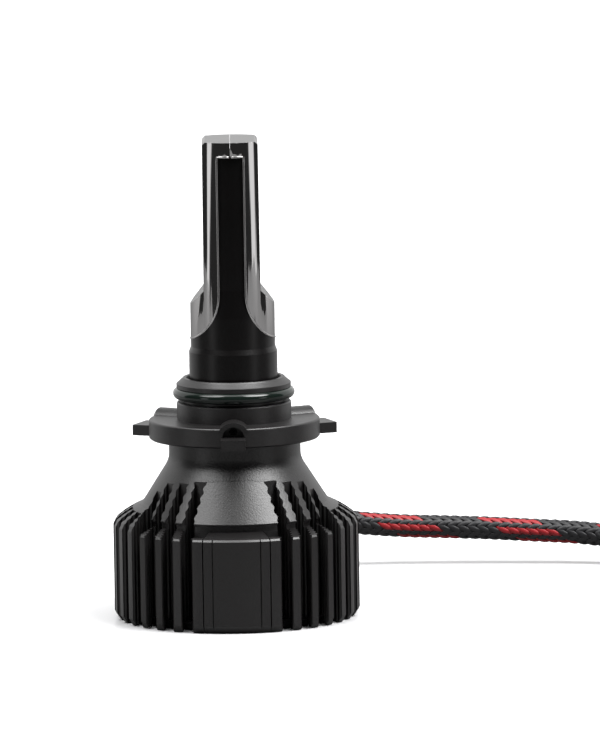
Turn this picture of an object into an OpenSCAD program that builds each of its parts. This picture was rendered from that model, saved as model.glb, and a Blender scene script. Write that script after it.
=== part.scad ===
// LED headlight bulb on a 20 mm pilot base (HB3 / 9005 pattern).
// A finned aluminium heat sink holds the fan and the driver, a black post carries two LED boards
// under chrome covers, and a locking collar turns on the post. The bulb stands on its base:
// the origin is at the centre of the base, +Z runs along the bulb, -Y is its front.

/* [Heat sink] */
// Radius over the fins
sink_r = 21.45; // [21:0.05:22]
// Height at which the outer faces of the fins end
fin_top = 15.85; // [15.5:0.05:16.4]
// Angle from the front to the middle of the first gap on each side
first_gap = 23.95; // [23.5:0.05:24.5]
// Number of gaps on each side
gap_count = 14; // [14:1:14]
// Width of the gap between two fins
fin_gap = 2.1; // [1.7:0.05:2.2]
// Radius of the neck under the collar
neck_r = 11.5; // [11:0.1:12]
// Height of the neck's top face
neck_top = 31.4; // [31:0.1:31.5]

/* [Fan] */
// Radius of the fan pocket
pocket_r = 15.4; // [15.3:0.1:15.6]
// Height of the pocket's ceiling
pocket_top = 9.3; // [9.2:0.1:9.6]
// Radius over the impeller blades
impeller_r = 13.4; // [12.5:0.1:13.5]
// Number of impeller blades
blade_count = 11; // [7:1:13]

/* [Post] */
// Radius of the post below the covers
post_r = 7.7; // [7.5:0.05:7.75]
// Radius of the covers, and of the post under them
shell_r = 7.36; // [7.2:0.02:7.4]
// Half the width of the blade between the covers
blade_half = 2.35; // [2.2:0.05:2.4]
// Top of the blade
blade_top = 81.3; // [80.5:0.1:81.5]
// Top of the bulb
bulb_top = 83.8; // [83.4:0.1:84.4]

/* [Collar] */
// Radius of the pilot, which fits the lamp's hole
pilot_r = 10; // [9.9:0.05:10]
// Radius of the flange
flange_r = 14.92; // [14.6:0.02:15]
// Height of the flange's seat, which rests on the lamp
seat_z = 34.85; // [34.6:0.05:35]
// Radius at the tips of the three lugs
lug_r = 18; // [17.2:0.1:18.2]
// Angle from the front lug to the middle of each side lug
lug_angle = 111.5; // [108:0.5:116]
// Angle from the front rib to each side rib, which stands towards the back of its lug
rib_angle = 118; // [114:0.5:120]

/* [Cable] */
// Diameter of the braided cable
cable_d = 4.3; // [4.1:0.1:4.5]
// Height at which the cable leaves the heat sink
exit_z = 12.6; // [12.6:0.1:12.8]

/* [Hidden] */
$fn = 96;
slip = 0.05;                      // radial clearance of a located fit
cut = 0.01;                       // overshoot of a cutting solid
black = [0.09, 0.08, 0.085];
chrome = [0.82, 0.82, 0.84];
steel = [0.55, 0.56, 0.58];

// Heat sink: levels of its cavities, and the angles of its two solid blocks
grille_r = 18.4;
grille_top = 1.3;
cavity_r = 11.3;
cavity_top = 17.3;
socket_z = 22;
fin_pitch = (180 - 2 * first_gap) / (gap_count - 1);
// Inner end of each gap from the front to the side, as radius and angle from the front
gap_ends = [[13.1, 25.5], [13.4, 40.5], [13.6, 53.5], [14.8, 63.5], [17.5, 68.7], [17.7, 77],
    [17.6, 85.5]];
boss_x = 8.2;
screw_places = [-102, -78, 78, 102];
fan_screw_places = [-103, -77];

// Fan levels
frame_z = 8.2;
bearing_z = 3.6;

// Tower: where the milled sides of the post end, and the flats of the covers
mill_r = 9.1;
mill_x = blade_half + mill_r;
mill_z = 57.2;
flat_x = 4.95;
slope_top = 57.8;
slope_bottom = 55.1;
wall = 0.8;
light_z = seat_z + 31.5;          // centre of the light, a standard distance from the seat
chip_pitch = 2.5;
board_x = blade_half + slip;
board_t = 1;
cover_screw_z = [59.3, 77.5];

// Collar: heights up the pilot
flange_z = 31.45;
lug_h = 1.85;
front_lug_w = 4.2;
side_lug_w = 6.2;
groove_z = [37.85, 40.35];
groove_r = 8.72;
ring_r = 0.95;
ring_z = 39.37;
land_top = 41.2;
collar_top = 42.1;
collar_bore = post_r + 0.08;
collar_a = -90.85;                // angle of the front lug
rib_places = [collar_a, collar_a - rib_angle, collar_a + rib_angle];

// Cable: from the gland's mouth behind the heat sink, out to the right, and round to its plug
gland_end = 28;
plug_y = -38;
cable_route = [[0, gland_end, exit_z], [0, 33, 12.4], [1, 38.5, 11.9], [4, 44, 11.1],
    [8.5, 48.5, 10.1], [14.5, 52, 9], [21.5, 54, 7.8], [30, 54.5, 7], [38, 54.3, 6.7],
    [46, 53.8, 6.4], [54, 53, 6], [62, 52, 5.6], [69, 50, 4.9], [76, 46.5, 4], [82, 41.5, 3.1],
    [86.5, 35, 2.5], [89, 27.5, 2.3], [90, 19.5, 2.2], [90, 11, 2.2], [90, 2, 2.2], [90, -7, 2.3],
    [90, -15, 3.1], [90, -22, 4.6], [90, -28, 6.1], [90, -33, 6.8], [90, plug_y, 6.8]];
plug_x = 90;
plug_z = 6.8;

// Points of an arc from angle a to angle b
function arc(centre, r, a, b, steps = 8) =
    [for (i = [0:steps]) let (t = a + (b - a) * i / steps) centre + r * [cos(t), sin(t)]];

module ring(r_out, r_in, h) {
    difference() {
        cylinder(r = r_out, h = h);
        translate([0, 0, -cut]) cylinder(r = r_in, h = h + 2 * cut);
    }
}

module at_angle(a, r) {
    rotate(a) translate([r, 0, 0]) children();
}

module both_sides() {
    children();
    mirror([1, 0, 0]) children();
}

// A cylinder that lies along +X from x
module rod_x(r, x, len) {
    translate([x, 0, 0]) rotate([0, 90, 0]) cylinder(r = r, h = len);
}

// A cylinder that lies along +Y from y
module rod_y(r, y, len) {
    translate([0, y, 0]) rotate([-90, 0, 0]) cylinder(r = r, h = len);
}

// A pan-head screw that points up, with its head's underside at z = 0
module screw(r, len, head_r, head_h) {
    translate([0, 0, -head_h]) difference() {
        cylinder(r = head_r, h = head_h);
        translate([0, 0, -cut]) cylinder(r = head_r * 0.5, h = head_h * 0.5, $fn = 6);
    }
    cylinder(r = r, h = len);
}

// Heat sink
module sink_outline() {
    polygon(concat([[0, 0], [sink_r - 0.9, 0], [sink_r, 1.3], [sink_r, fin_top],
        [sink_r - 0.5, fin_top + 0.6], [18.3, fin_top + 1.1], [18.3, 18.3], [18.85, 18.6]],
        arc([11.4, 6.47], 14.6, 58.6, 68),
        [[16.25, 20.4], [15.85, 20.95]],
        arc([neck_r + 4, 28.96], 4, 212, 180),
        [[neck_r, neck_top], [0, neck_top]]));
}

// One gap, from its inner end out through the fins' edge
module gap_cut(inner, outer_a) {
    start = inner[0] * [sin(inner[1]), -cos(inner[1])];
    end = sink_r * [sin(outer_a), -cos(outer_a)];
    way = end - start;
    translate(start) rotate(atan2(way[1], way[0])) translate([0, -fin_gap / 2, 0])
        cube([norm(way) + 2, fin_gap, neck_top]);
}

module heat_sink() {
    color(black) difference() {
        rotate_extrude($fn = 144) sink_outline();
        for (side = [0, 180]) {
            for (i = [0:gap_count / 2 - 1], flip = [0, 1])
                rotate(side) mirror([flip, 0, 0]) translate([0, 0, -cut])
                    gap_cut(gap_ends[i], first_gap + i * fin_pitch);
            for (a = [11.2, 15.85], s = [-1, 1])
                rotate(side - 90 + s * a)
                    translate([sink_r - 0.4, -0.1, -cut]) cube([1, 0.2, fin_top + 1]);
        }
        translate([0, 0, -cut]) cylinder(r = grille_r, h = grille_top + cut);
        cylinder(r = pocket_r, h = pocket_top);
        difference() {
            cylinder(r = cavity_r, h = cavity_top);
            both_sides() translate([boss_x, 0, 11.4]) cylinder(r = 1.7, h = 8);
        }
        both_sides() translate([boss_x, 0, 11]) cylinder(r = 0.7, h = 4);
        cylinder(r = 4.2, h = socket_z);
        translate([0, 0, socket_z]) cylinder(r = post_r + slip, h = 20);
        translate([0, 0, exit_z]) rod_y(3.15, cavity_r - 2, 20);
        for (a = screw_places) at_angle(a, 17) cylinder(r = 0.75, h = 7);
        for (a = fan_screw_places) at_angle(a, 14) cylinder(r = 0.65, h = 13);
    }
}

// Bottom grille: a disc with rows of arc-shaped air slots
module bottom_grille() {
    slot_w = 1.8;
    rows = [[5, 4], [8.2, 6], [11.4, 8], [14.6, 8]];
    color([0.13, 0.13, 0.14]) difference() {
        translate([0, 0, 0.25]) cylinder(r = grille_r - 0.15, h = grille_top - 0.25 - slip);
        for (row = rows, i = [0:row[1] - 1]) {
            bridge = 2 * asin(1.3 / row[0]);
            rotate(360 / row[1] * (i + 0.5) + bridge / 2)
                rotate_extrude(angle = 360 / row[1] - bridge) translate([row[0] - slot_w / 2, -cut])
                    square([slot_w, 3]);
        }
        for (a = screw_places) at_angle(a, 17) {
            cylinder(r = 0.8, h = 3);
            cylinder(r = 1.25, h = 0.75);
        }
    }
}

module grille_screws() {
    color(steel) for (a = screw_places)
        at_angle(a, 17) translate([0, 0, 0.75]) screw(0.7, 6, 1.2, 0.45);
}

// Fan
module fan_frame() {
    color([0.1, 0.1, 0.11]) difference() {
        union() {
            translate([0, 0, frame_z]) ring(pocket_r - 0.15, 12.4, 1);
            translate([0, 0, frame_z]) cylinder(r = 7, h = 1);
            for (a = [45:90:315]) rotate(a)
                translate([6, -0.8, frame_z]) cube([7, 1.6, 1]);
            for (a = [0, 180]) rotate(a - 9) rotate_extrude(angle = 18)
                translate([14, grille_top + 0.05]) square([1.1, frame_z + 0.4 - grille_top]);
            translate([0, 0, 3.5]) cylinder(r = 2.6, h = 5);
        }
        cylinder(r = 1.75, h = 12);
        for (a = fan_screw_places) at_angle(a, 14) cylinder(r = 0.7, h = 12);
    }
}

module fan_screws() {
    color(steel) for (a = fan_screw_places)
        at_angle(a, 14) translate([0, 0, frame_z]) screw(0.6, 4.3, 1.15, 0.6);
}

module fan_bearing() {
    color([0.72, 0.55, 0.3]) translate([0, 0, bearing_z]) ring(1.7, 0.8, 4.4);
}

module fan_stator() {
    color([0.45, 0.46, 0.48]) translate([0, 0, 4.2]) difference() {
        union() {
            cylinder(r = 3.2, h = 2);
            for (a = [0:90:270]) rotate(a) translate([3, -0.45, 0]) cube([1.3, 0.9, 2]);
            for (a = [0:90:270]) rotate(a - 33)
                rotate_extrude(angle = 66) translate([4.15, 0]) square([0.5, 2]);
        }
        translate([0, 0, -cut]) cylinder(r = 2.65, h = 3);
    }
}

// Each coil wraps one pole of the stator
module fan_coils() {
    color([0.75, 0.38, 0.2]) for (a = [0:90:270]) rotate(a) difference() {
        translate([3.3, -0.85, 3.8]) cube([0.75, 1.7, 2.8]);
        translate([3, -0.5, 4.15]) cube([1.3, 1, 2.1]);
    }
}

module fan_board() {
    color([0.1, 0.3, 0.16]) translate([0, 0, 7.45]) ring(6.6, 2.7, 0.7);
}

// Backward-curved blades throw the air out through the gaps between the fins
module fan_impeller() {
    color([0.12, 0.12, 0.13]) {
        difference() {
            translate([0, 0, 1.9]) cylinder(r = 6.5, h = 5);
            translate([0, 0, 2.6]) cylinder(r = 5.95, h = 6);
            cylinder(r = 0.77, h = 6);
        }
        translate([0, 0, 2.6]) ring(1.6, 0.77, 0.8);
        translate([0, 0, 2.1]) linear_extrude(5.3) intersection() {
            difference() {
                circle(r = impeller_r);
                circle(r = 6.45);
            }
            for (i = [0:blade_count - 1]) rotate(i * 360 / blade_count) translate([9, 6.5]) difference() {
                circle(r = 7);
                circle(r = 6.45);
                translate([-9, -1.2]) square(18);
            }
        }
        translate([0, 0, 1.9]) ring(impeller_r, 6.45, 0.45);
    }
}

module fan_magnet() {
    color([0.3, 0.3, 0.31]) translate([0, 0, 2.8]) ring(5.9, 5, 4);
}

module fan_shaft() {
    color(steel) translate([0, 0, 1.9]) cylinder(r = 0.75, h = 6.6);
}

module shaft_clip() {
    color(steel) translate([0, 0, 8.1]) ring(1.4, 0.77, 0.3);
}

// Driver
module driver_board() {
    color([0.09, 0.28, 0.15]) difference() {
        translate([0, 0, 10.2]) cylinder(r = cavity_r - 0.3, h = 1.2 - cut);
        both_sides() translate([boss_x, 0, 0]) cylinder(r = 0.75, h = 20);
        both_sides() translate([3.2, 0, 0]) cylinder(r = 0.55, h = 20);
    }
}

module driver_parts() {
    z = 11.4;
    color([0.2, 0.2, 0.21]) {
        translate([-4.6, -4.6, z]) difference() {
            cylinder(r = 3.1, h = 4.2);
            translate([0, 0, 3.4]) cylinder(r = 1.1, h = 2);
        }
        for (x = [1.6, 5.4]) translate([x, -5.6, z]) cylinder(r = 1.7, h = 4.6);
        translate([-1.6, 2.2, z]) cube([3.2, 3, 1.1]);
        both_sides() translate([4, 4.6, z]) cube([2.6, 2.2, 1]);
        for (x = [-2.4, -0.4, 1.6]) translate([x, -1.9, z]) cube([1.2, 0.8, 0.6]);
        for (y = [2.2, -3.4]) translate([6, y, z]) cube([1.4, 1.2, 0.8]);
    }
}

module driver_screws() {
    color(steel) both_sides() translate([boss_x, 0, 10.2]) screw(0.65, 4.4, 1.3, 0.6);
}

module input_leads() {
    for (s = [-1, 1]) color(s < 0 ? [0.6, 0.08, 0.08] : black) translate([s * 1.1, 0, 0]) {
        translate([0, 0, exit_z]) rod_y(0.55, 7.3, 4.6);
        translate([0, 7.3, exit_z]) sphere(r = 0.55, $fn = 24);
        translate([0, 7.3, 11.4]) cylinder(r = 0.55, h = exit_z - 11.4);
    }
}

module led_leads() {
    color([0.7, 0.1, 0.1]) both_sides() translate([3.2, 0, 10.2]) cylinder(r = 0.5, h = 56.9 - 10.2);
}

// The part of the tower outside the blade, as a shape seen from the front. grow moves its edge
// away from the blade.
module side_shape(grow) {
    intersection() {
        union() {
            translate([mill_x, mill_z]) circle(r = mill_r - grow);
            polygon([[blade_half + grow, mill_z], [20, mill_z], [20, 90], [blade_half - 0.12 + grow, 90]]);
        }
        translate([0, 40]) square(60);
    }
}

module from_front() {
    rotate([90, 0, 0]) translate([0, 0, -20]) linear_extrude(40) children();
}

// Post
module lamp_post() {
    recess = 0.4;
    color(black) difference() {
        rotate_extrude() polygon([[0, socket_z + slip], [post_r - 0.4, socket_z + slip],
            [post_r, socket_z + 0.5], [post_r, 46.7], [shell_r, 47.6], [shell_r, 53],
            [shell_r - recess, 58], [shell_r - recess, blade_top], [0, blade_top]]);
        both_sides() from_front() side_shape(0);
        translate([0, 0, 38]) rotate_extrude() translate([6.85, 0]) square([2, 1]);
        both_sides() translate([3.2, 0, 20]) cylinder(r = 0.7, h = 50);
        for (z = cover_screw_z) translate([0, 0, z]) rod_x(0.6, -3, 6);
    }
}

module post_o_ring() {
    color([0.05, 0.05, 0.05]) translate([0, 0, 38.5])
        rotate_extrude() translate([7.3, 0]) circle(r = 0.43, $fn = 24);
}

// LED boards
module led_board() {
    color([0.9, 0.9, 0.88]) difference() {
        translate([board_x, -4.6, 57]) cube([board_t, 9.2, 23.6]);
        for (z = cover_screw_z) translate([0, 0, z]) rod_x(0.7, 0, 6);
    }
}

module led_board_right() {
    led_board();
}

module led_board_left() {
    mirror([1, 0, 0]) led_board();
}

module led_chips() {
    color([0.95, 0.8, 0.25]) for (i = [-1.5:1:1.5])
        translate([board_x + board_t, -0.95, light_z + i * chip_pitch - 0.95]) cube([0.55, 1.9, 1.9]);
}

module led_chips_right() {
    led_chips();
}

module led_chips_left() {
    mirror([1, 0, 0]) led_chips();
}

// A cover's outside: a round bar with a flat on its +X side, over a 45 degree slope
module cover_body() {
    intersection() {
        translate([0, 0, 48]) cylinder(r = shell_r, h = bulb_top - 48);
        from_front() polygon([[0, 48], [20, 48], [20, slope_bottom], [shell_r, slope_bottom],
            [flat_x, slope_top], [flat_x - 0.1, bulb_top - 0.5], [flat_x - 0.6, bulb_top], [0, bulb_top]]);
    }
}

// The window over the LEDs, wider at its mouth
module window() {
    half_y = 1.9;
    half_z = 5.7;
    x = [flat_x - wall - 1, flat_x + 0.5];
    flare = 1.3;
    intersection() {
        translate([0, 0, light_z - 20]) linear_extrude(40) polygon([[x[0], -half_y], [x[0], half_y],
            [x[1], half_y + flare], [x[1], -half_y - flare]]);
        from_front() polygon([[x[0], light_z - half_z], [x[1], light_z - half_z - flare],
            [x[1], light_z + half_z + flare], [x[0], light_z + half_z]]);
    }
}

module reflector() {
    edge = 0.1;
    cap_z = blade_top + 0.1;
    color(chrome) difference() {
        union() {
            difference() {
                intersection() {
                    cover_body();
                    from_front() union() {
                        side_shape(edge);
                        translate([0.02, cap_z]) square([10, 10]);
                    }
                }
                intersection() {
                    cylinder(r = shell_r - wall, h = blade_top - 0.3);
                    from_front() polygon([[1, 40], [6.4, 40], [6.4, slope_bottom - 0.2],
                        [flat_x - wall, slope_top - 0.4], [flat_x - wall, 90], [1, 90]]);
                }
            }
            for (z = cover_screw_z) translate([0, 0, z])
                rod_x(1.5, board_x + board_t, flat_x - wall / 2 - board_x - board_t);
        }
        window();
        for (z = cover_screw_z) translate([0, 0, z]) {
            rod_x(0.7, 2, 6);
            rod_x(1.25, flat_x - 0.65, 3);
        }
    }
}

module reflector_right() {
    reflector();
}

module reflector_left() {
    mirror([1, 0, 0]) reflector();
}

module reflector_screws() {
    color(steel) both_sides() for (z = cover_screw_z) translate([flat_x - 0.65, 0, z])
        rotate([0, -90, 0]) screw(0.55, 3.9, 1.15, 0.5);
}

// Collar
module collar_outline() {
    polygon(concat([[collar_bore, flange_z], [flange_r - 0.25, flange_z], [flange_r, flange_z + 0.25]],
        arc([flange_r - 0.35, seat_z - 0.35], 0.35, 0, 90, 3),
        [[pilot_r, seat_z], [pilot_r, groove_z[0] - 0.2], [pilot_r - 0.2, groove_z[0]]],
        [[groove_r, groove_z[0]], [groove_r, groove_z[1]], [pilot_r, groove_z[1]]],
        [[pilot_r, land_top - 0.1], [pilot_r - 0.15, land_top], [9.1, collar_top - 0.25]],
        [[8.85, collar_top], [8.25, collar_top], [collar_bore, collar_top - 1.4]]));
}

module lug(w) {
    translate([flange_r - 2, -w / 2, flange_z]) cube([lug_r - flange_r + 2, w, lug_h]);
}

// A half-round rib on the flange, hollow at its outer end over the lug
module lug_rib() {
    rib_r = 3.04;
    translate([0, 0, seat_z + 1.05 - rib_r]) intersection() {
        rod_x(rib_r, pilot_r - 0.8, flange_r - 0.1 - pilot_r + 0.8);
        translate([8, -5, rib_r - 1.6]) cube([8, 10, 5]);
    }
}

module locking_collar() {
    color(black) difference() {
        union() {
            rotate_extrude() collar_outline();
            rotate(collar_a) lug(front_lug_w);
            for (s = [-1, 1]) rotate(collar_a + s * lug_angle) lug(side_lug_w);
            for (a = rib_places) rotate(a) lug_rib();
        }
        for (a = rib_places) rotate(a) translate([0, 0, flange_z + lug_h]) {
            intersection() {
                rod_x(1.9, 13.2, 2);
                translate([13, -3, 0]) cube([4, 6, 3]);
            }
            translate([0, 0, 0.95]) rod_x(0.7, 7, 8);
        }
        rotate_extrude() translate([0, 30]) square([collar_bore, 20]);
    }
}

module collar_screws() {
    color(steel) for (a = rib_places) rotate(a) translate([0, 0, flange_z + lug_h + 0.95]) difference() {
        rod_x(0.65, collar_bore + 0.1, 4.4);
        rotate([0, 90, 0]) translate([0, 0, 11.4]) cylinder(r = 0.4, h = 3, $fn = 6);
    }
}

module o_ring() {
    color([0.04, 0.06, 0.05]) translate([0, 0, ring_z])
        rotate_extrude() translate([groove_r + ring_r + cut, 0]) circle(r = ring_r, $fn = 48);
}

// Cable, its gland and its plug
module cable_gland() {
    color([0.07, 0.07, 0.07]) difference() {
        translate([0, 0, exit_z]) rotate([-90, 0, 0]) rotate_extrude() polygon([[0, 11.2], [3, 11.2],
            [3, 21.5], [4.1, 21.5], [4.1, 22.6], [3.5, 23], [2.75, gland_end], [0, gland_end]]);
        for (s = [-1, 1]) translate([s * 1.1, 0, exit_z]) rod_y(0.6, 9, 3);
    }
}

function unit(v) = v / norm(v);
function route_direction(p, i) = unit(p[min(i + 1, len(p) - 1)] - p[max(i - 1, 0)]);

// A closed tube through the points p, whose first and last rings stand square to along
module tube(p, r, along, sides = 12) {
    n = len(p);
    rings = [for (i = [0:n - 1]) let (
        t = i == 0 ? along[0] : i == n - 1 ? along[1] : route_direction(p, i),
        side = unit(cross(t, [0, 0, 1])),
        up = cross(side, t))
        for (k = [0:sides - 1]) p[i] + r * (cos(360 * k / sides) * side + sin(360 * k / sides) * up)];
    faces = concat(
        [[for (k = [0:sides - 1]) k]],
        [[for (k = [sides - 1:-1:0]) (n - 1) * sides + k]],
        [for (i = [0:n - 2], k = [0:sides - 1], half = [0, 1])
            let (a = i * sides, b = a + sides, next = (k + 1) % sides)
            half == 0 ? [a + k, b + k, b + next] : [a + k, b + next, a + next]]);
    polyhedron(rings, faces);
}

module cable() {
    color([0.35, 0.1, 0.1]) tube(cable_route, cable_d / 2, [[0, 1, 0], [0, -1, 0]]);
}

module plug_boot() {
    color([0.12, 0.12, 0.12]) translate([plug_x, 0, plug_z]) rotate([90, 0, 0]) rotate_extrude()
        polygon([[0, -plug_y], [2.9, -plug_y], [3.6, -plug_y + 1.2], [3.6, -plug_y + 6], [0, -plug_y + 6]]);
}

// The plug's outline seen along the cable: a rounded box
module plug_outline(w, h, r) {
    for (x = [-w / 2 + r, w / 2 - r], y = [-h / 2 + r, h / 2 - r]) translate([x, y]) circle(r = r, $fn = 32);
    square([w - 2 * r, h], center = true);
    square([w, h - 2 * r], center = true);
}

module plug_housing() {
    h = 2 * plug_z;
    color([0.08, 0.08, 0.08]) translate([plug_x, plug_y - 6, plug_z]) rotate([90, 0, 0]) difference() {
        union() {
            linear_extrude(8) plug_outline(15, h - 2, 2.5);
            translate([0, 0, 7]) linear_extrude(19) plug_outline(20, h, 3);
            translate([-3, h / 2 - 2, 10]) cube([6, 3.2, 8]);
            translate([-3, h / 2 - 2, 16]) cube([6, 4, 2]);
        }
        translate([0, 0, 12]) linear_extrude(20) plug_outline(16.8, h - 3.2, 1.8);
    }
}

module plug_terminals() {
    color([0.8, 0.7, 0.45]) for (s = [-1, 1])
        translate([plug_x + s * 4 - 0.4, plug_y - 27, plug_z - 1.4]) cube([0.8, 9, 2.8]);
}

heat_sink();
bottom_grille();
grille_screws();
fan_frame();
fan_screws();
fan_bearing();
fan_stator();
fan_coils();
fan_board();
fan_impeller();
fan_magnet();
fan_shaft();
shaft_clip();
driver_board();
driver_parts();
driver_screws();
input_leads();
led_leads();
lamp_post();
post_o_ring();
led_board_left();
led_board_right();
led_chips_left();
led_chips_right();
reflector_left();
reflector_right();
reflector_screws();
locking_collar();
collar_screws();
o_ring();
cable_gland();
cable();
plug_boot();
plug_housing();
plug_terminals();
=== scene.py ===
"""Looks of the LED headlight bulb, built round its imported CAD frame. All lengths are in metres."""

import math

import bmesh
import bpy
import numpy as np
from mathutils import Matrix, Vector


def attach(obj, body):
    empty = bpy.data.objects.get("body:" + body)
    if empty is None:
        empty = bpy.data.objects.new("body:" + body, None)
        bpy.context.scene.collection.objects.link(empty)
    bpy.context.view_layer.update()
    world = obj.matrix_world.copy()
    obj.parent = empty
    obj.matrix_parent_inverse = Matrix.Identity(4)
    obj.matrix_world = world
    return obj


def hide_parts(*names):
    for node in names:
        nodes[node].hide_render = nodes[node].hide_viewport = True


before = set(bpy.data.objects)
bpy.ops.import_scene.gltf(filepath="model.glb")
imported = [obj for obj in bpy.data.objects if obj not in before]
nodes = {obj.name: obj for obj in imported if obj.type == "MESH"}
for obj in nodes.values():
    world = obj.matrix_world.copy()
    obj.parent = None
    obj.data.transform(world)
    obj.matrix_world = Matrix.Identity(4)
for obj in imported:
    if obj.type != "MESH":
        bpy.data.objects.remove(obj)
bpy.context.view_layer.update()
MM = 0.001

# Cable: the route's own points, as in the CAD source
CABLE_ROUTE = [
    (0, 28, 12.6), (0, 33, 12.4), (1, 38.5, 11.9), (4, 44, 11.1), (8.5, 48.5, 10.1),
    (14.5, 52, 9), (21.5, 54, 7.8), (30, 54.5, 7), (38, 54.3, 6.7), (46, 53.8, 6.4),
    (54, 53, 6), (62, 52, 5.6), (69, 50, 4.9), (76, 46.5, 4), (82, 41.5, 3.1),
    (86.5, 35, 2.5), (89, 27.5, 2.3), (90, 19.5, 2.2), (90, 11, 2.2), (90, 2, 2.2),
    (90, -7, 2.3), (90, -15, 3.1), (90, -22, 4.6), (90, -28, 6.1), (90, -33, 6.8),
    (90, -38, 6.8),
]


# ---------------------------------------------------------------- camera
def make_camera():
    """A long lens a little above the bulb, tipped down and rolled slightly."""
    target = Vector((0, 0, 0.0433))
    distance, pitch, roll = 1.54, math.radians(7.6), math.radians(0.95)
    data = bpy.data.cameras.new("camera")
    data.sensor_fit = "VERTICAL"
    data.sensor_height = 36
    data.lens = 430
    data.shift_x = 0.0901
    data.clip_end = 20
    cam = bpy.data.objects.new("camera", data)
    bpy.context.scene.collection.objects.link(cam)
    place = target + distance * Vector((0, -math.cos(pitch), math.sin(pitch)))
    turn = (target - place).to_track_quat("-Z", "Y").to_matrix().to_4x4()
    cam.matrix_world = Matrix.Translation(place) @ turn @ Matrix.Rotation(-roll, 4, "Z")
    bpy.context.scene.camera = cam
    return cam


# ---------------------------------------------------------------- mesh helpers
def add_mesh(name, verts, faces, materials=(), smooth=True):
    """A mesh object of these vertices and faces, in metres."""
    mesh = bpy.data.meshes.new(name)
    mesh.from_pydata([tuple(v) for v in verts], [], [tuple(f) for f in faces])
    mesh.update()
    if smooth:
        mesh.shade_smooth()
    obj = bpy.data.objects.new(name, mesh)
    bpy.context.scene.collection.objects.link(obj)
    for m in materials:
        mesh.materials.append(m)
    return obj


def grid_faces(rows, columns, closed=False, start=0):
    """Quads between the rows of a grid of vertices; closed joins the last column to the first."""
    faces = []
    for i in range(rows - 1):
        for j in range(columns if closed else columns - 1):
            k = (j + 1) % columns
            a, b = start + i * columns, start + (i + 1) * columns
            faces.append((a + j, a + k, b + k, b + j))
    return faces


def smooth_line(points, step):
    """Points about step apart on a smooth curve through the given points."""
    p = np.array(points, float)
    p = np.vstack([2 * p[0] - p[1], p, 2 * p[-1] - p[-2]])
    out = []
    for a, b, c, d in zip(p, p[1:], p[2:], p[3:]):
        for t in np.linspace(0, 1, 40, endpoint=False):
            out.append(0.5 * (2 * b + (c - a) * t + (2 * a - 5 * b + 4 * c - d) * t**2
                              + (3 * b - a - 3 * c + d) * t**3))
    out = np.array(out + [p[-2]])
    along = np.concatenate([[0], np.cumsum(np.linalg.norm(np.diff(out, axis=0), axis=1))])
    at = np.linspace(0, along[-1], round(along[-1] / step) + 1)
    return np.stack([np.interp(at, along, out[:, k]) for k in range(3)], axis=1), at


def line_frames(line, level=(0, 0, 1)):
    """Two vectors across a line at each of its points; the first lies square to level as well."""
    tangent = np.gradient(line, axis=0)
    tangent /= np.linalg.norm(tangent, axis=1)[:, None]
    side = np.cross(tangent, level)
    side /= np.linalg.norm(side, axis=1)[:, None]
    return side, np.cross(side, tangent)


# ---------------------------------------------------------------- cable
BRAID_LEAD = 21.7 * MM      # one turn of a carrier round the cable
BRAID_STRANDS = 12          # yarns each way round; half of those that turn one way are red
STRAND_W = 0.5 * MM         # half the width of a yarn
STRAND_H = 0.21 * MM        # half its thickness
STRAND_SIDES = 8
BRAID_R = 1.77 * MM         # from the cable's middle to the middle of the yarns
BRAID_WAVE = 0.17 * MM      # how far a yarn rises and sinks as it passes over and under
CORE_SIDES = 16


def sweep(line, across, lift, half_w, half_h, sides):
    """Vertices of an oval tube along a line, ring by ring."""
    turn = [2 * math.pi * k / sides for k in range(sides)]
    ring = [line + across * (half_w * math.cos(a)) + lift * (half_h * math.sin(a)) for a in turn]
    return np.stack(ring, axis=1).reshape(-1, 3)


def end_caps(rings, sides, start=0):
    """The two end faces of a tube of this many rings."""
    last = start + sides * (rings - 1)
    return [tuple(range(start, start + sides))[::-1], tuple(range(last, last + sides))]


def yarn(line, along, side, up, way, index):
    """Vertices of one yarn, which winds round the cable over and under the yarns of the other way."""
    turn = way * 2 * math.pi * along / BRAID_LEAD + 2 * math.pi * index / BRAID_STRANDS
    radius = BRAID_R - way * BRAID_WAVE * np.cos(BRAID_STRANDS / 2 * turn)
    out = side * np.cos(turn)[:, None] + up * np.sin(turn)[:, None]
    centre = line + out * radius[:, None]
    run = np.gradient(centre, axis=0)
    run /= np.linalg.norm(run, axis=1)[:, None]
    across = np.cross(run, out)
    across /= np.linalg.norm(across, axis=1)[:, None]
    return sweep(centre, across, np.cross(across, run), STRAND_W, STRAND_H, STRAND_SIDES)


def make_cable(red, charcoal, core):
    """A braided sleeve of two families of yarns round a plain core."""
    line, along = smooth_line(np.array(CABLE_ROUTE) * MM, 0.45 * MM)
    side, up = line_frames(line)
    verts, faces, slots = [], [], []
    for way in (-1, 1):
        for i in range(BRAID_STRANDS):
            start = sum(len(v) for v in verts)
            verts.append(yarn(line, along, side, up, way, i))
            made = grid_faces(len(line), STRAND_SIDES, closed=True, start=start)
            made += end_caps(len(line), STRAND_SIDES, start)
            faces += made
            is_red = way < 0 and i < BRAID_STRANDS // 2
            slots += [0 if is_red else 1] * len(made)
    core_r = BRAID_R - BRAID_WAVE
    start = sum(len(v) for v in verts)
    every = slice(None, None, 4)
    verts.append(sweep(line[every], side[every], up[every], core_r, core_r, CORE_SIDES))
    made = grid_faces(len(line[every]), CORE_SIDES, closed=True, start=start)
    faces += made
    slots += [2] * len(made)
    obj = add_mesh("braided_cable", np.vstack(verts), faces, [red, charcoal, core])
    obj.data.polygons.foreach_set("material_index", slots)
    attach(obj, "lamp")
    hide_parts("cable")
    return obj, line


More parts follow.
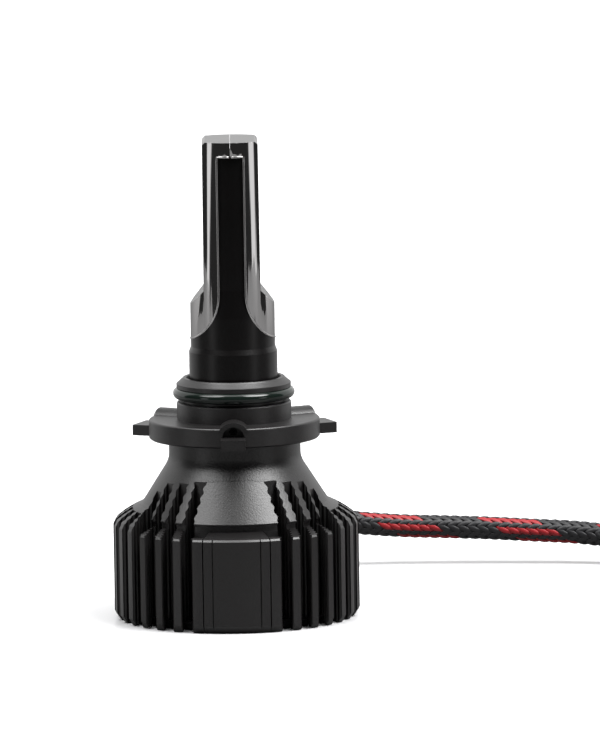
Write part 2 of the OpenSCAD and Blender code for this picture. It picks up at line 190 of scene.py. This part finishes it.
# ---------------------------------------------------------------- materials
def node_material(name):
    """A new material, its node tree and its shader."""
    mat = bpy.data.materials.new(name)
    mat.use_nodes = True
    tree = mat.node_tree
    return mat, tree, tree.nodes["Principled BSDF"]


def simple_material(name, colour, rough, metal=0.0, grain=0.0, scale=3000.0, spread=0.15, coat=0.0,
                    specular=0.5):
    """A shader whose colour and roughness vary a little, with a fine bump where grain isn't 0."""
    mat, tree, bsdf = node_material(name)
    new, link = tree.nodes.new, tree.links.new
    bsdf.inputs["Metallic"].default_value = metal
    bsdf.inputs["Coat Weight"].default_value = coat
    bsdf.inputs["Specular IOR Level"].default_value = specular
    place = new("ShaderNodeTexCoord")
    cloud = new("ShaderNodeTexNoise")
    cloud.inputs["Scale"].default_value = 120
    cloud.inputs["Detail"].default_value = 4
    link(place.outputs["Object"], cloud.inputs["Vector"])
    tint = new("ShaderNodeMix")
    tint.data_type = "RGBA"
    link(cloud.outputs["Fac"], tint.inputs["Factor"])
    tint.inputs["A"].default_value = (*[c * (1 - spread) for c in colour], 1)
    tint.inputs["B"].default_value = (*[min(1, c * (1 + spread)) for c in colour], 1)
    link(tint.outputs["Result"], bsdf.inputs["Base Color"])
    rough_map = new("ShaderNodeMapRange")
    rough_map.inputs["To Min"].default_value = max(0.02, rough * 0.9)
    rough_map.inputs["To Max"].default_value = min(1, rough * 1.1)
    link(cloud.outputs["Fac"], rough_map.inputs["Value"])
    link(rough_map.outputs["Result"], bsdf.inputs["Roughness"])
    if grain:
        fine = new("ShaderNodeTexNoise")
        fine.inputs["Scale"].default_value = scale
        fine.inputs["Detail"].default_value = 3
        link(place.outputs["Object"], fine.inputs["Vector"])
        bump = new("ShaderNodeBump")
        bump.inputs["Strength"].default_value = grain
        bump.inputs["Distance"].default_value = 100 * MM / scale     # a tenth of a grain's size
        link(fine.outputs["Fac"], bump.inputs["Height"])
        link(bump.outputs["Normal"], bsdf.inputs["Normal"])
    return mat


def dress(material, *names):
    """Put one material on CAD nodes."""
    for name in names:
        mesh = nodes[name].data
        mesh.materials.clear()
        mesh.materials.append(material)


# ---------------------------------------------------------------- heat sink
SINK_R = 21.45
CORE_R = 13.0
INNER_R = CORE_R - 0.1      # the fins and blocks start inside the core
NECK_R = 11.5
NECK_TOP = 31.4
CORNER_R = 0.7              # rounded corner of the fins near the sides
CORNER_Z = 16.4
FOOT = (0.9, 1.3)           # width and height of the chamfer round the foot
FAN_POCKET = (15.4, 9.3)    # radius and ceiling
GRILLE_RECESS = (18.4, 1.3)     # radius and ceiling
CAVITY = (11.3, 17.3)       # radius and ceiling of the driver's cavity
SOCKET = (7.75, 22)         # radius and floor of the post's socket
LEAD_HOLE_R = 4.2
FIRST_GAP = 23.95
GAP_W = 2.1
# Each gap's inner end, as radius and angle from the front, and its angle where it meets the rim
GAP_PATHS = ((13.1, 27.3, 28.6), (13.4, 41.6, 41), (13.6, 56.2, 52.5), (14.6, 65.4, 61.5),
             (18.2, 69.5, 67.5), (18.2, 77.5, 76.3), (18.0, 85.8, 85.2))
GAP_PITCH = (180 - 2 * FIRST_GAP) / (2 * len(GAP_PATHS) - 1)
RECESSED = 3                # this many fins on each side of a block have the recess under the rim
RECESS_R = 16.7             # back wall of the recess
RIM_R = 17.4                # edge of the cone over the recess
RIM_Z = (18.1, 18.2, 18.35)     # underside of the rim, top of what it is buried in, its sharp edge
CONE_R = 15.85              # where the cone ends near the sides; in front it runs on to the rim
CONE_SLOPE = 1.57
LOW_TOP = ((RECESS_R, 17.2), (SINK_R - 0.3, 16.4), (SINK_R, 16.05))    # top of the blocks and fins
GROOVES = (11.2, 15.85)     # angles of the thin grooves on each side of a block's middle
GROOVE_HALF = math.degrees(0.1 / SINK_R)
GROOVE_DEPTH = 0.4
PIT_R = 20.2                # the pit behind the outer edge of a block's side pieces ends here
PIT_Z = 13.5
WAVE = 0.17                 # height and length of the corrugation
WAVE_LEN = 1.0
ROW = 0.07                  # spacing of the points that follow it
STEP = 0.002                # half the width of the jump where a height changes
LAP = math.radians(0.6)     # how far neighbouring fins overlap where their gap has ended


def arc(cx, cz, r, a, b, steps):
    """Points of an arc in the (radius, height) plane."""
    turn = [math.radians(a + (b - a) * k / steps) for k in range(steps + 1)]
    return [(cx + r * math.cos(t), cz + r * math.sin(t)) for t in turn]


def shoulder_outline():
    """The heat sink's outline from the corner of a fin up to the top of the neck."""
    return (arc(SINK_R - CORNER_R, CORNER_Z, CORNER_R, 0, 47, 5) + arc(11.4, 6.47, 14.6, 49, 68, 14)
            + [(16.25, 20.4), (CONE_R, 20.95)] + arc(NECK_R + 4, 28.96, 4, 212, 180, 12)
            + [(NECK_R, NECK_TOP)])


OUTLINE = shoulder_outline()[::-1]


def top_height(r):
    """Height of the outline at a radius between the core and the outside of the fins."""
    return float(np.interp(r, [p[0] for p in OUTLINE], [p[1] for p in OUTLINE]))


def low_top(r):
    """Top of a block or a fin in front of the recess; further in it is buried in the rim above."""
    if r < RECESS_R:
        return RIM_Z[1]
    return float(np.interp(r, [p[0] for p in LOW_TOP], [p[1] for p in LOW_TOP]))


def rim_bottom(r):
    """Underside of the rim over the recess."""
    return RIM_Z[0] if r < RIM_R - 0.1 else RIM_Z[2]


def cone_top(r):
    """Height of the cone where it runs straight down to the rim."""
    return top_height(CONE_R) + (CONE_R - r) * CONE_SLOPE if r > CONE_R else top_height(r)


def bottom_height(r):
    """Height of the heat sink's underside at a radius: fan pocket, grille recess, foot, chamfer."""
    if r < FAN_POCKET[0]:
        return FAN_POCKET[1]
    if r < GRILLE_RECESS[0]:
        return GRILLE_RECESS[1]
    return max(0.0, (r - SINK_R + FOOT[0]) / FOOT[0] * FOOT[1])


def ripple(r):
    """How far the corrugation of a gap's wall stands out at a radius."""
    return WAVE * math.sin(2 * math.pi * (r - CORE_R) / WAVE_LEN)


def radii(r0, r1, extra=()):
    """Radii close enough together to follow the corrugation, with the given steps doubled."""
    n = max(1, round((r1 - r0) / ROW))
    rows = [r0 + (r1 - r0) * k / n for k in range(n + 1)]
    for r in extra:
        if r0 < r < r1:
            rows += [r - STEP, r + STEP]
    return sorted(rows)


def sector(out, rows, edge_a, edge_b, top, bottom, columns):
    """A closed block between two walls. edge_a and edge_b give an angle in radians at a radius."""
    verts, faces = out
    start = len(verts)
    ring = 2 * (columns + 1)
    for r in rows:
        a, b = edge_a(r), edge_b(r)
        turn = [a + (b - a) * k / columns for k in range(columns + 1)]
        verts += [(r * math.cos(t) * MM, r * math.sin(t) * MM, top(r) * MM) for t in turn]
        verts += [(r * math.cos(t) * MM, r * math.sin(t) * MM, bottom(r) * MM) for t in reversed(turn)]
    for i in range(len(rows) - 1):
        p, q = start + i * ring, start + (i + 1) * ring
        faces += [(p + j, q + j, q + (j + 1) % ring, p + (j + 1) % ring) for j in range(ring)]
    for base, step in ((start, 1), (start + (len(rows) - 1) * ring, -1)):
        for k in range(columns):
            quad = (base + k, base + k + 1, base + ring - 2 - k, base + ring - 1 - k)
            faces.append(quad[::step])


def ray(r, angle):
    """A point in the plane, from a radius and an angle in degrees."""
    return Vector((r * math.cos(math.radians(angle)), r * math.sin(math.radians(angle))))


class Gap:
    """A gap from its inner end to the rim and on to the fins' edge, with corrugated walls."""

    def __init__(self, index, base, flip):
        self.inner, inner_angle, rim_angle = GAP_PATHS[index]
        outer = FIRST_GAP + index * GAP_PITCH
        points = [ray(self.inner, inner_angle), ray(RIM_R, rim_angle), ray(SINK_R, outer)]
        self.start = math.radians(base + flip * inner_angle)
        self.lines = []
        for here, there in zip(points, points[1:]):
            way = (there - here).normalized()
            self.lines.append((math.radians(base) + flip * math.atan2(way.y, way.x),
                               flip * (way.x * here.y - way.y * here.x)))
        self.order = (base + flip * outer) % 360

    def wall(self, side):
        """The angle of one wall at a radius; inside the gap's end the two sides overlap a little."""
        def edge(r):
            if r < self.inner:
                return self.start - side * LAP
            way, offset = self.lines[r > RIM_R]
            return way + math.asin((offset + side * (GAP_W / 2 + ripple(r))) / r)
        return edge


def all_gaps():
    """Every gap, in order round the axis, starting just after the middle of the front block."""
    gaps = [Gap(i, base, flip) for base in (-90, 90) for flip in (-1, 1) for i in range(len(GAP_PATHS))]
    return sorted(gaps, key=lambda gap: (gap.order + 90) % 360)


def line_at(angle):
    """An edge that runs straight out at one angle, in degrees."""
    turn = math.radians(angle)
    return lambda r: turn


def unwind(edge_a, edge_b):
    """edge_b, turned by whole turns to come just after edge_a."""
    turns = round((edge_a(SINK_R) - edge_b(SINK_R)) / (2 * math.pi) + 0.5)
    return lambda r: edge_b(r) + turns * 2 * math.pi


def add_fins(out, gaps):
    """The fins between neighbouring gaps; those next to a block are cut in two by the recess."""
    per_side = len(gaps) // 2
    for k, (gap, after) in enumerate(zip(gaps, gaps[1:])):
        place = k % per_side
        if place == per_side - 1:
            continue
        a = gap.wall(1)
        b = unwind(a, after.wall(-1))
        ends = (gap.inner, after.inner, FAN_POCKET[0], GRILLE_RECESS[0])
        if min(place, per_side - 2 - place) >= RECESSED:
            sector(out, radii(INNER_R, SINK_R, ends), a, b, top_height, bottom_height, 5)
            continue
        sector(out, radii(INNER_R, RIM_R, ends), a, b, cone_top, rim_bottom, 5)
        sector(out, radii(INNER_R, SINK_R, ends + (RECESS_R,)), a, b, low_top, bottom_height, 5)


def add_block(out, side, before, after):
    """One solid block: the cone's rim over it, its body, and its face cut by four thin grooves."""
    left = before.wall(1)
    right = unwind(left, after.wall(-1))
    ends = (before.inner, FAN_POCKET[0], GRILLE_RECESS[0])
    near, far = GROOVES
    middle = side + 360 * round((math.degrees(left(SINK_R)) - side) / 360)
    sector(out, radii(INNER_R, RIM_R, ends), left, right, cone_top, rim_bottom, 28)
    sector(out, radii(INNER_R, RECESS_R + 0.1, ends), left, right,
           lambda r: RIM_Z[1] if r < RECESS_R else LOW_TOP[0][1] - 0.2, bottom_height, 28)
    sector(out, radii(RECESS_R, SINK_R - GROOVE_DEPTH), line_at(middle - far), line_at(middle + far),
           lambda r: low_top(r) - 0.02, bottom_height, 22)
    pieces = [(-far + GROOVE_HALF, -near - GROOVE_HALF, 6), (-near + GROOVE_HALF, near - GROOVE_HALF, 22),
              (near + GROOVE_HALF, far - GROOVE_HALF, 6)]
    for a, b, columns in pieces:
        sector(out, radii(RECESS_R, SINK_R, GRILLE_RECESS[:1]), line_at(middle + a), line_at(middle + b),
               low_top, bottom_height, columns)
    far_left, far_right = line_at(middle - far - GROOVE_HALF), line_at(middle + far + GROOVE_HALF)
    for a, b in ((left, far_left), (far_right, right)):
        sector(out, radii(PIT_R, SINK_R), a, b, low_top, bottom_height, 7)
        sector(out, radii(RECESS_R, PIT_R + 0.1), a, b, lambda r: PIT_Z, bottom_height, 7)


def spin(out, profile, sides):
    """A solid of revolution of a closed profile of (radius, height) points."""
    verts, faces = out
    start, n = len(verts), len(profile)
    for k in range(sides):
        t = 2 * math.pi * k / sides
        verts += [(r * math.cos(t) * MM, r * math.sin(t) * MM, z * MM) for r, z in profile]
    for k in range(sides):
        p, q = start + k * n, start + (k + 1) % sides * n
        faces += [(p + j, q + j, q + (j + 1) % n, p + (j + 1) % n) for j in range(n)]


def add_core(out):
    """The neck, the top of the cone and the wall round the driver's cavity."""
    cone = [p for p in OUTLINE if NECK_R + 0.001 < p[0] < CORE_R - 0.02]
    profile = ([(CORE_R, FAN_POCKET[1]), (CORE_R, top_height(CORE_R))] + sorted(cone, key=lambda p: p[1])
               + [(NECK_R, 28.96), (NECK_R, NECK_TOP - 0.15), (NECK_R - 0.15, NECK_TOP),
                  (SOCKET[0], NECK_TOP), SOCKET, (LEAD_HOLE_R, SOCKET[1]), (LEAD_HOLE_R, CAVITY[1]),
                  (CAVITY[0], CAVITY[1]), (CAVITY[0], FAN_POCKET[1])])
    spin(out, profile, 180)


def fix_normals(obj):
    """Turn every closed piece's faces outwards."""
    shape = bmesh.new()
    shape.from_mesh(obj.data)
    bmesh.ops.recalc_face_normals(shape, faces=shape.faces)
    shape.to_mesh(obj.data)
    shape.free()


def soften(obj, width, segments=2, angle=35):
    """Join the faces that touch, and round the edges that are sharper than an angle."""
    weld = obj.modifiers.new("weld", "WELD")
    weld.merge_threshold = 0.001 * MM
    bevel = obj.modifiers.new("bevel", "BEVEL")
    bevel.width = width
    bevel.segments = segments
    bevel.limit_method = "ANGLE"
    bevel.angle_limit = math.radians(angle)
    bevel.harden_normals = True


def make_heat_sink(material):
    """The finned body: its core, its fins and its front and back blocks, as one object."""
    out = ([], [])
    gaps = all_gaps()
    half = len(gaps) // 2
    add_core(out)
    add_fins(out, gaps)
    add_block(out, -90, gaps[-1], gaps[0])
    add_block(out, 90, gaps[half - 1], gaps[half])
    obj = add_mesh("finned_body", out[0], out[1], [material])
    fix_normals(obj)
    obj.data.set_sharp_from_angle(angle=math.radians(28))
    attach(obj, "lamp")
    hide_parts("heat_sink")
    return obj


# ---------------------------------------------------------------- cover rims
SHELL_R = 7.36
BLADE_HALF = 2.35
MILL_R = 9.1
MILL_Z = 57.2
WINDOW_TOP = 81.3
RIM_WIRE = 0.2 * MM         # radius of the rolled edge


def rim_line(side):
    """One cover's front edge: up the milled arc, up beside the blade, and over it to the seam."""
    low = math.acos((BLADE_HALF + MILL_R - SHELL_R + 0.05) / MILL_R)
    turn = [low * (1 - k / 24) for k in range(25)]
    flat = [(BLADE_HALF + MILL_R * (1 - math.cos(t)), MILL_Z - MILL_R * math.sin(t)) for t in turn]
    flat += [(BLADE_HALF, MILL_Z + (WINDOW_TOP - MILL_Z) * k / 20) for k in range(1, 21)]
    flat += [(BLADE_HALF - 0.55 * k, WINDOW_TOP) for k in range(1, 5)]
    return np.array([(side * x, -math.sqrt(SHELL_R**2 - x**2), z) for x, z in flat]) * MM


def make_cover_rims(material):
    """The rolled front edge of each chrome cover."""
    for name, side in (("left_cover_rim", -1), ("right_cover_rim", 1)):
        line = rim_line(side)
        out, up = line_frames(line, (0, 1, 0))
        faces = grid_faces(len(line), 12, closed=True) + end_caps(len(line), 12)
        rim = add_mesh(name, sweep(line, out, up, RIM_WIRE, RIM_WIRE, 12), faces, [material])
        fix_normals(rim)
        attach(rim, "lamp")


# ---------------------------------------------------------------- studio
TABLE_WHITE = (0.88, 0.88, 0.89, 1)
TABLE_MIRRORED = (0.2, 0.2, 0.2, 1)
TABLE_EDGE = ((0.34, -0.22), (0.34, 0.11), (3, 0.97), (3, 6))


def table_material():
    """White to the camera, and darker to the object, so that its sides mirror a dark room."""
    mat, tree, bsdf = node_material("table_white")
    bsdf.inputs["Roughness"].default_value = 0.25
    bsdf.inputs["Specular IOR Level"].default_value = 0.12
    shade = tree.nodes.new("ShaderNodeMix")
    shade.data_type = "RGBA"
    shade.inputs["A"].default_value = TABLE_MIRRORED
    shade.inputs["B"].default_value = TABLE_WHITE
    path = tree.nodes.new("ShaderNodeLightPath")
    tree.links.new(path.outputs["Is Camera Ray"], shade.inputs["Factor"])
    tree.links.new(shade.outputs["Result"], bsdf.inputs["Base Color"])
    return mat


def make_floor():
    """A table that is narrow in front and wide behind."""
    edge = list(TABLE_EDGE) + [(-x, y) for x, y in reversed(TABLE_EDGE)]
    table = add_mesh("table", [(x, y, 0) for x, y in edge], [range(len(edge))], [table_material()])
    table.location.z = -0.02 * MM


class WorldMaths:
    """Small helpers that chain value nodes in a node tree. Values are sockets or plain numbers."""

    def __init__(self, tree):
        self.tree = tree

    def op(self, kind, a, b=0.0):
        """One operation on one or two values."""
        node = self.tree.nodes.new("ShaderNodeMath")
        node.operation = kind
        for value, socket in zip((a, b), node.inputs):
            if isinstance(value, (int, float)):
                socket.default_value = value
            else:
                self.tree.links.new(value, socket)
        return node.outputs[0]

    def sum(self, *values):
        """The sum of several values."""
        total = values[0]
        for value in values[1:]:
            total = self.op("ADD", total, value)
        return total

    def ramp(self, value, lo, hi):
        """0 below lo and 1 above hi; with hi below lo it falls instead."""
        node = self.tree.nodes.new("ShaderNodeMapRange")
        node.interpolation_type = "SMOOTHSTEP"
        low, high = min(lo, hi), max(lo, hi)
        node.inputs["From Min"].default_value = low
        node.inputs["From Max"].default_value = high
        node.inputs["To Min"].default_value = 0 if lo < hi else 1
        node.inputs["To Max"].default_value = 1 if lo < hi else 0
        self.tree.links.new(value, node.inputs["Value"])
        return node.outputs[0]

    def band(self, value, centre, half, soft):
        """1 within half of centre, falling to 0 over soft."""
        away = self.op("ABSOLUTE", self.op("SUBTRACT", value, centre))
        return self.ramp(away, half + soft, half)


# Brightness of the studio's lights
BACKDROP = 0.95
ROOM = 0.03
SOFTBOX = 10.0
SOFTBOX_TILT = 0.7                      # how much brighter the right softbox is than the left one
OVERHEAD = 3.0
STRIP = 1.1
# Where they are. A level direction is behind = 1 straight behind the bulb and -1 in front of it
BOX_WAY = (0.4975, -0.2215, 0.839)      # towards the right softbox; the left one mirrors it
BOX_EDGE = (0.94, 0.97)
OVERHEAD_EDGE = (0.91, 0.95)
BACKDROP_EDGE = (0.27, 0.33)
BACKDROP_TOP = (1.6, 0.9)
STRIP_PLACE = (-0.53, 0.07, 0.07)       # centre, half width and soft edge, along behind
STRIP_RISE = (-0.1, 0.3, 0.15)          # the same, up the wall


def studio_light(m, x, y, z):
    """Light from a direction: a backdrop, two front softboxes, one overhead, and two strips."""
    level = m.op("SQRT", m.op("ADD", m.op("MULTIPLY", x, x), m.op("MULTIPLY", y, y)))
    level = m.op("MAXIMUM", level, 0.001)
    behind = m.op("DIVIDE", y, level)
    rise = m.op("DIVIDE", z, level)
    backdrop = m.op("MULTIPLY", m.ramp(behind, *BACKDROP_EDGE), m.ramp(rise, *BACKDROP_TOP))
    facing = m.sum(m.op("MULTIPLY", m.op("ABSOLUTE", x), BOX_WAY[0]), m.op("MULTIPLY", y, BOX_WAY[1]),
                   m.op("MULTIPLY", z, BOX_WAY[2]))
    right = m.op("ADD", 1.0, m.op("MULTIPLY", x, SOFTBOX_TILT))
    softbox = m.op("MULTIPLY", m.ramp(facing, *BOX_EDGE), right)
    strip = m.op("MULTIPLY", m.band(behind, *STRIP_PLACE), m.band(rise, *STRIP_RISE))
    return m.sum(m.op("MULTIPLY", backdrop, BACKDROP), ROOM, m.op("MULTIPLY", softbox, SOFTBOX),
                 m.op("MULTIPLY", m.ramp(z, *OVERHEAD_EDGE), OVERHEAD), m.op("MULTIPLY", strip, STRIP))


def make_world():
    """White to the camera, and the studio's lights to the rest."""
    world = bpy.data.worlds.new("studio")
    bpy.context.scene.world = world
    world.use_nodes = True
    tree = world.node_tree
    link = tree.links.new
    m = WorldMaths(tree)
    place = tree.nodes.new("ShaderNodeTexCoord")
    split = tree.nodes.new("ShaderNodeSeparateXYZ")
    link(place.outputs["Generated"], split.inputs[0])
    light = studio_light(m, *split.outputs)
    seen = tree.nodes.new("ShaderNodeLightPath").outputs["Is Camera Ray"]
    total = m.op("ADD", m.op("MULTIPLY", light, m.op("SUBTRACT", 1.0, seen)), seen)
    back = tree.nodes["Background"]
    back.inputs["Color"].default_value = (1, 1, 1, 1)
    link(total, back.inputs["Strength"])


def make_studio():
    """The room and the table, in plain display colours."""
    bpy.context.scene.view_settings.view_transform = "Standard"
    make_world()
    make_floor()


# ---------------------------------------------------------------- build
def chrome_material():
    """Chrome plate, with darker edges than a plain metal shader gives."""
    mat = simple_material("chrome_plate", (0.55, 0.54, 0.54), 0.07, metal=1, spread=0.02)
    mat.node_tree.nodes["Principled BSDF"].inputs["Specular Tint"].default_value = (0.5, 0.5, 0.5, 1)
    return mat


def lay_cable():
    """The braided cable, with its red yarns, its charcoal yarns and its core."""
    red = simple_material("red_yarn", (0.36, 0.011, 0.016), 0.5, grain=0.6, scale=6000)
    charcoal = simple_material("charcoal_yarn", (0.016, 0.016, 0.018), 0.5, grain=0.6, scale=6000)
    core = simple_material("sleeve_core", (0.006, 0.006, 0.006), 0.8)
    cable, line = make_cable(red, charcoal, core)


def dress_lamp():
    """The heat sink, the post and its covers, and the light sources."""
    black = simple_material("black_anodised", (0.004, 0.0032, 0.0034), 0.4, grain=0.9, scale=3200,
                            specular=0.85)
    satin = simple_material("satin_black", (0.003, 0.0024, 0.0025), 0.3, grain=0.3, scale=8000,
                            specular=0.4)
    chrome = chrome_material()
    make_heat_sink(black)
    make_cover_rims(chrome)
    dress(black, "locking_collar")
    dress(satin, "lamp_post")
    dress(chrome, "reflector_left", "reflector_right")
    dress(simple_material("o_ring_rubber", (0.008, 0.014, 0.011), 0.12), "o_ring", "post_o_ring")
    dress(simple_material("led_board_white", (0.75, 0.75, 0.72), 0.35), "led_board_left", "led_board_right")
    dress(simple_material("phosphor", (0.78, 0.55, 0.06), 0.5), "led_chips_left", "led_chips_right")
    for name in ("reflector_left", "reflector_right"):
        soften(nodes[name], 0.25 * MM, 3)


def dress_fan():
    """The fan's own parts."""
    dress(simple_material("laminated_steel", (0.36, 0.36, 0.37), 0.4, metal=1), "fan_stator")
    dress(simple_material("magnet", (0.08, 0.08, 0.085), 0.45, metal=0.7), "fan_magnet")
    dress(simple_material("bronze", (0.55, 0.34, 0.14), 0.3, metal=1), "fan_bearing")
    dress(simple_material("copper", (0.62, 0.24, 0.11), 0.28, metal=1), "fan_coils")


def dress_driver():
    """The boards, the leads and the plug's contacts."""
    dress(simple_material("circuit_board", (0.012, 0.09, 0.03), 0.35, coat=0.3),
          "fan_board", "driver_board")
    dress(simple_material("driver_components", (0.04, 0.04, 0.045), 0.4), "driver_parts")
    dress(simple_material("lead_insulation", (0.3, 0.015, 0.012), 0.4), "input_leads", "led_leads")
    dress(simple_material("terminal_brass", (0.72, 0.55, 0.22), 0.3, metal=1), "plug_terminals")


def dress_housings():
    """Plastic, painted and rubber parts, and the fasteners."""
    dress(simple_material("black_plastic", (0.015, 0.015, 0.016), 0.35, grain=0.3),
          "fan_frame", "fan_impeller", "plug_housing")
    dress(simple_material("grille_paint", (0.02, 0.02, 0.021), 0.4, grain=0.4), "bottom_grille")
    dress(simple_material("soft_black", (0.014, 0.014, 0.015), 0.55), "cable_gland", "plug_boot")
    dress(simple_material("steel", (0.5, 0.5, 0.51), 0.25, metal=1),
          "grille_screws", "fan_screws", "fan_shaft", "shaft_clip", "driver_screws")
    dress(simple_material("black_oxide_steel", (0.03, 0.03, 0.03), 0.4, metal=0.6),
          "collar_screws", "reflector_screws")


make_camera()
lay_cable()
dress_lamp()
dress_fan()
dress_driver()
dress_housings()
make_studio()
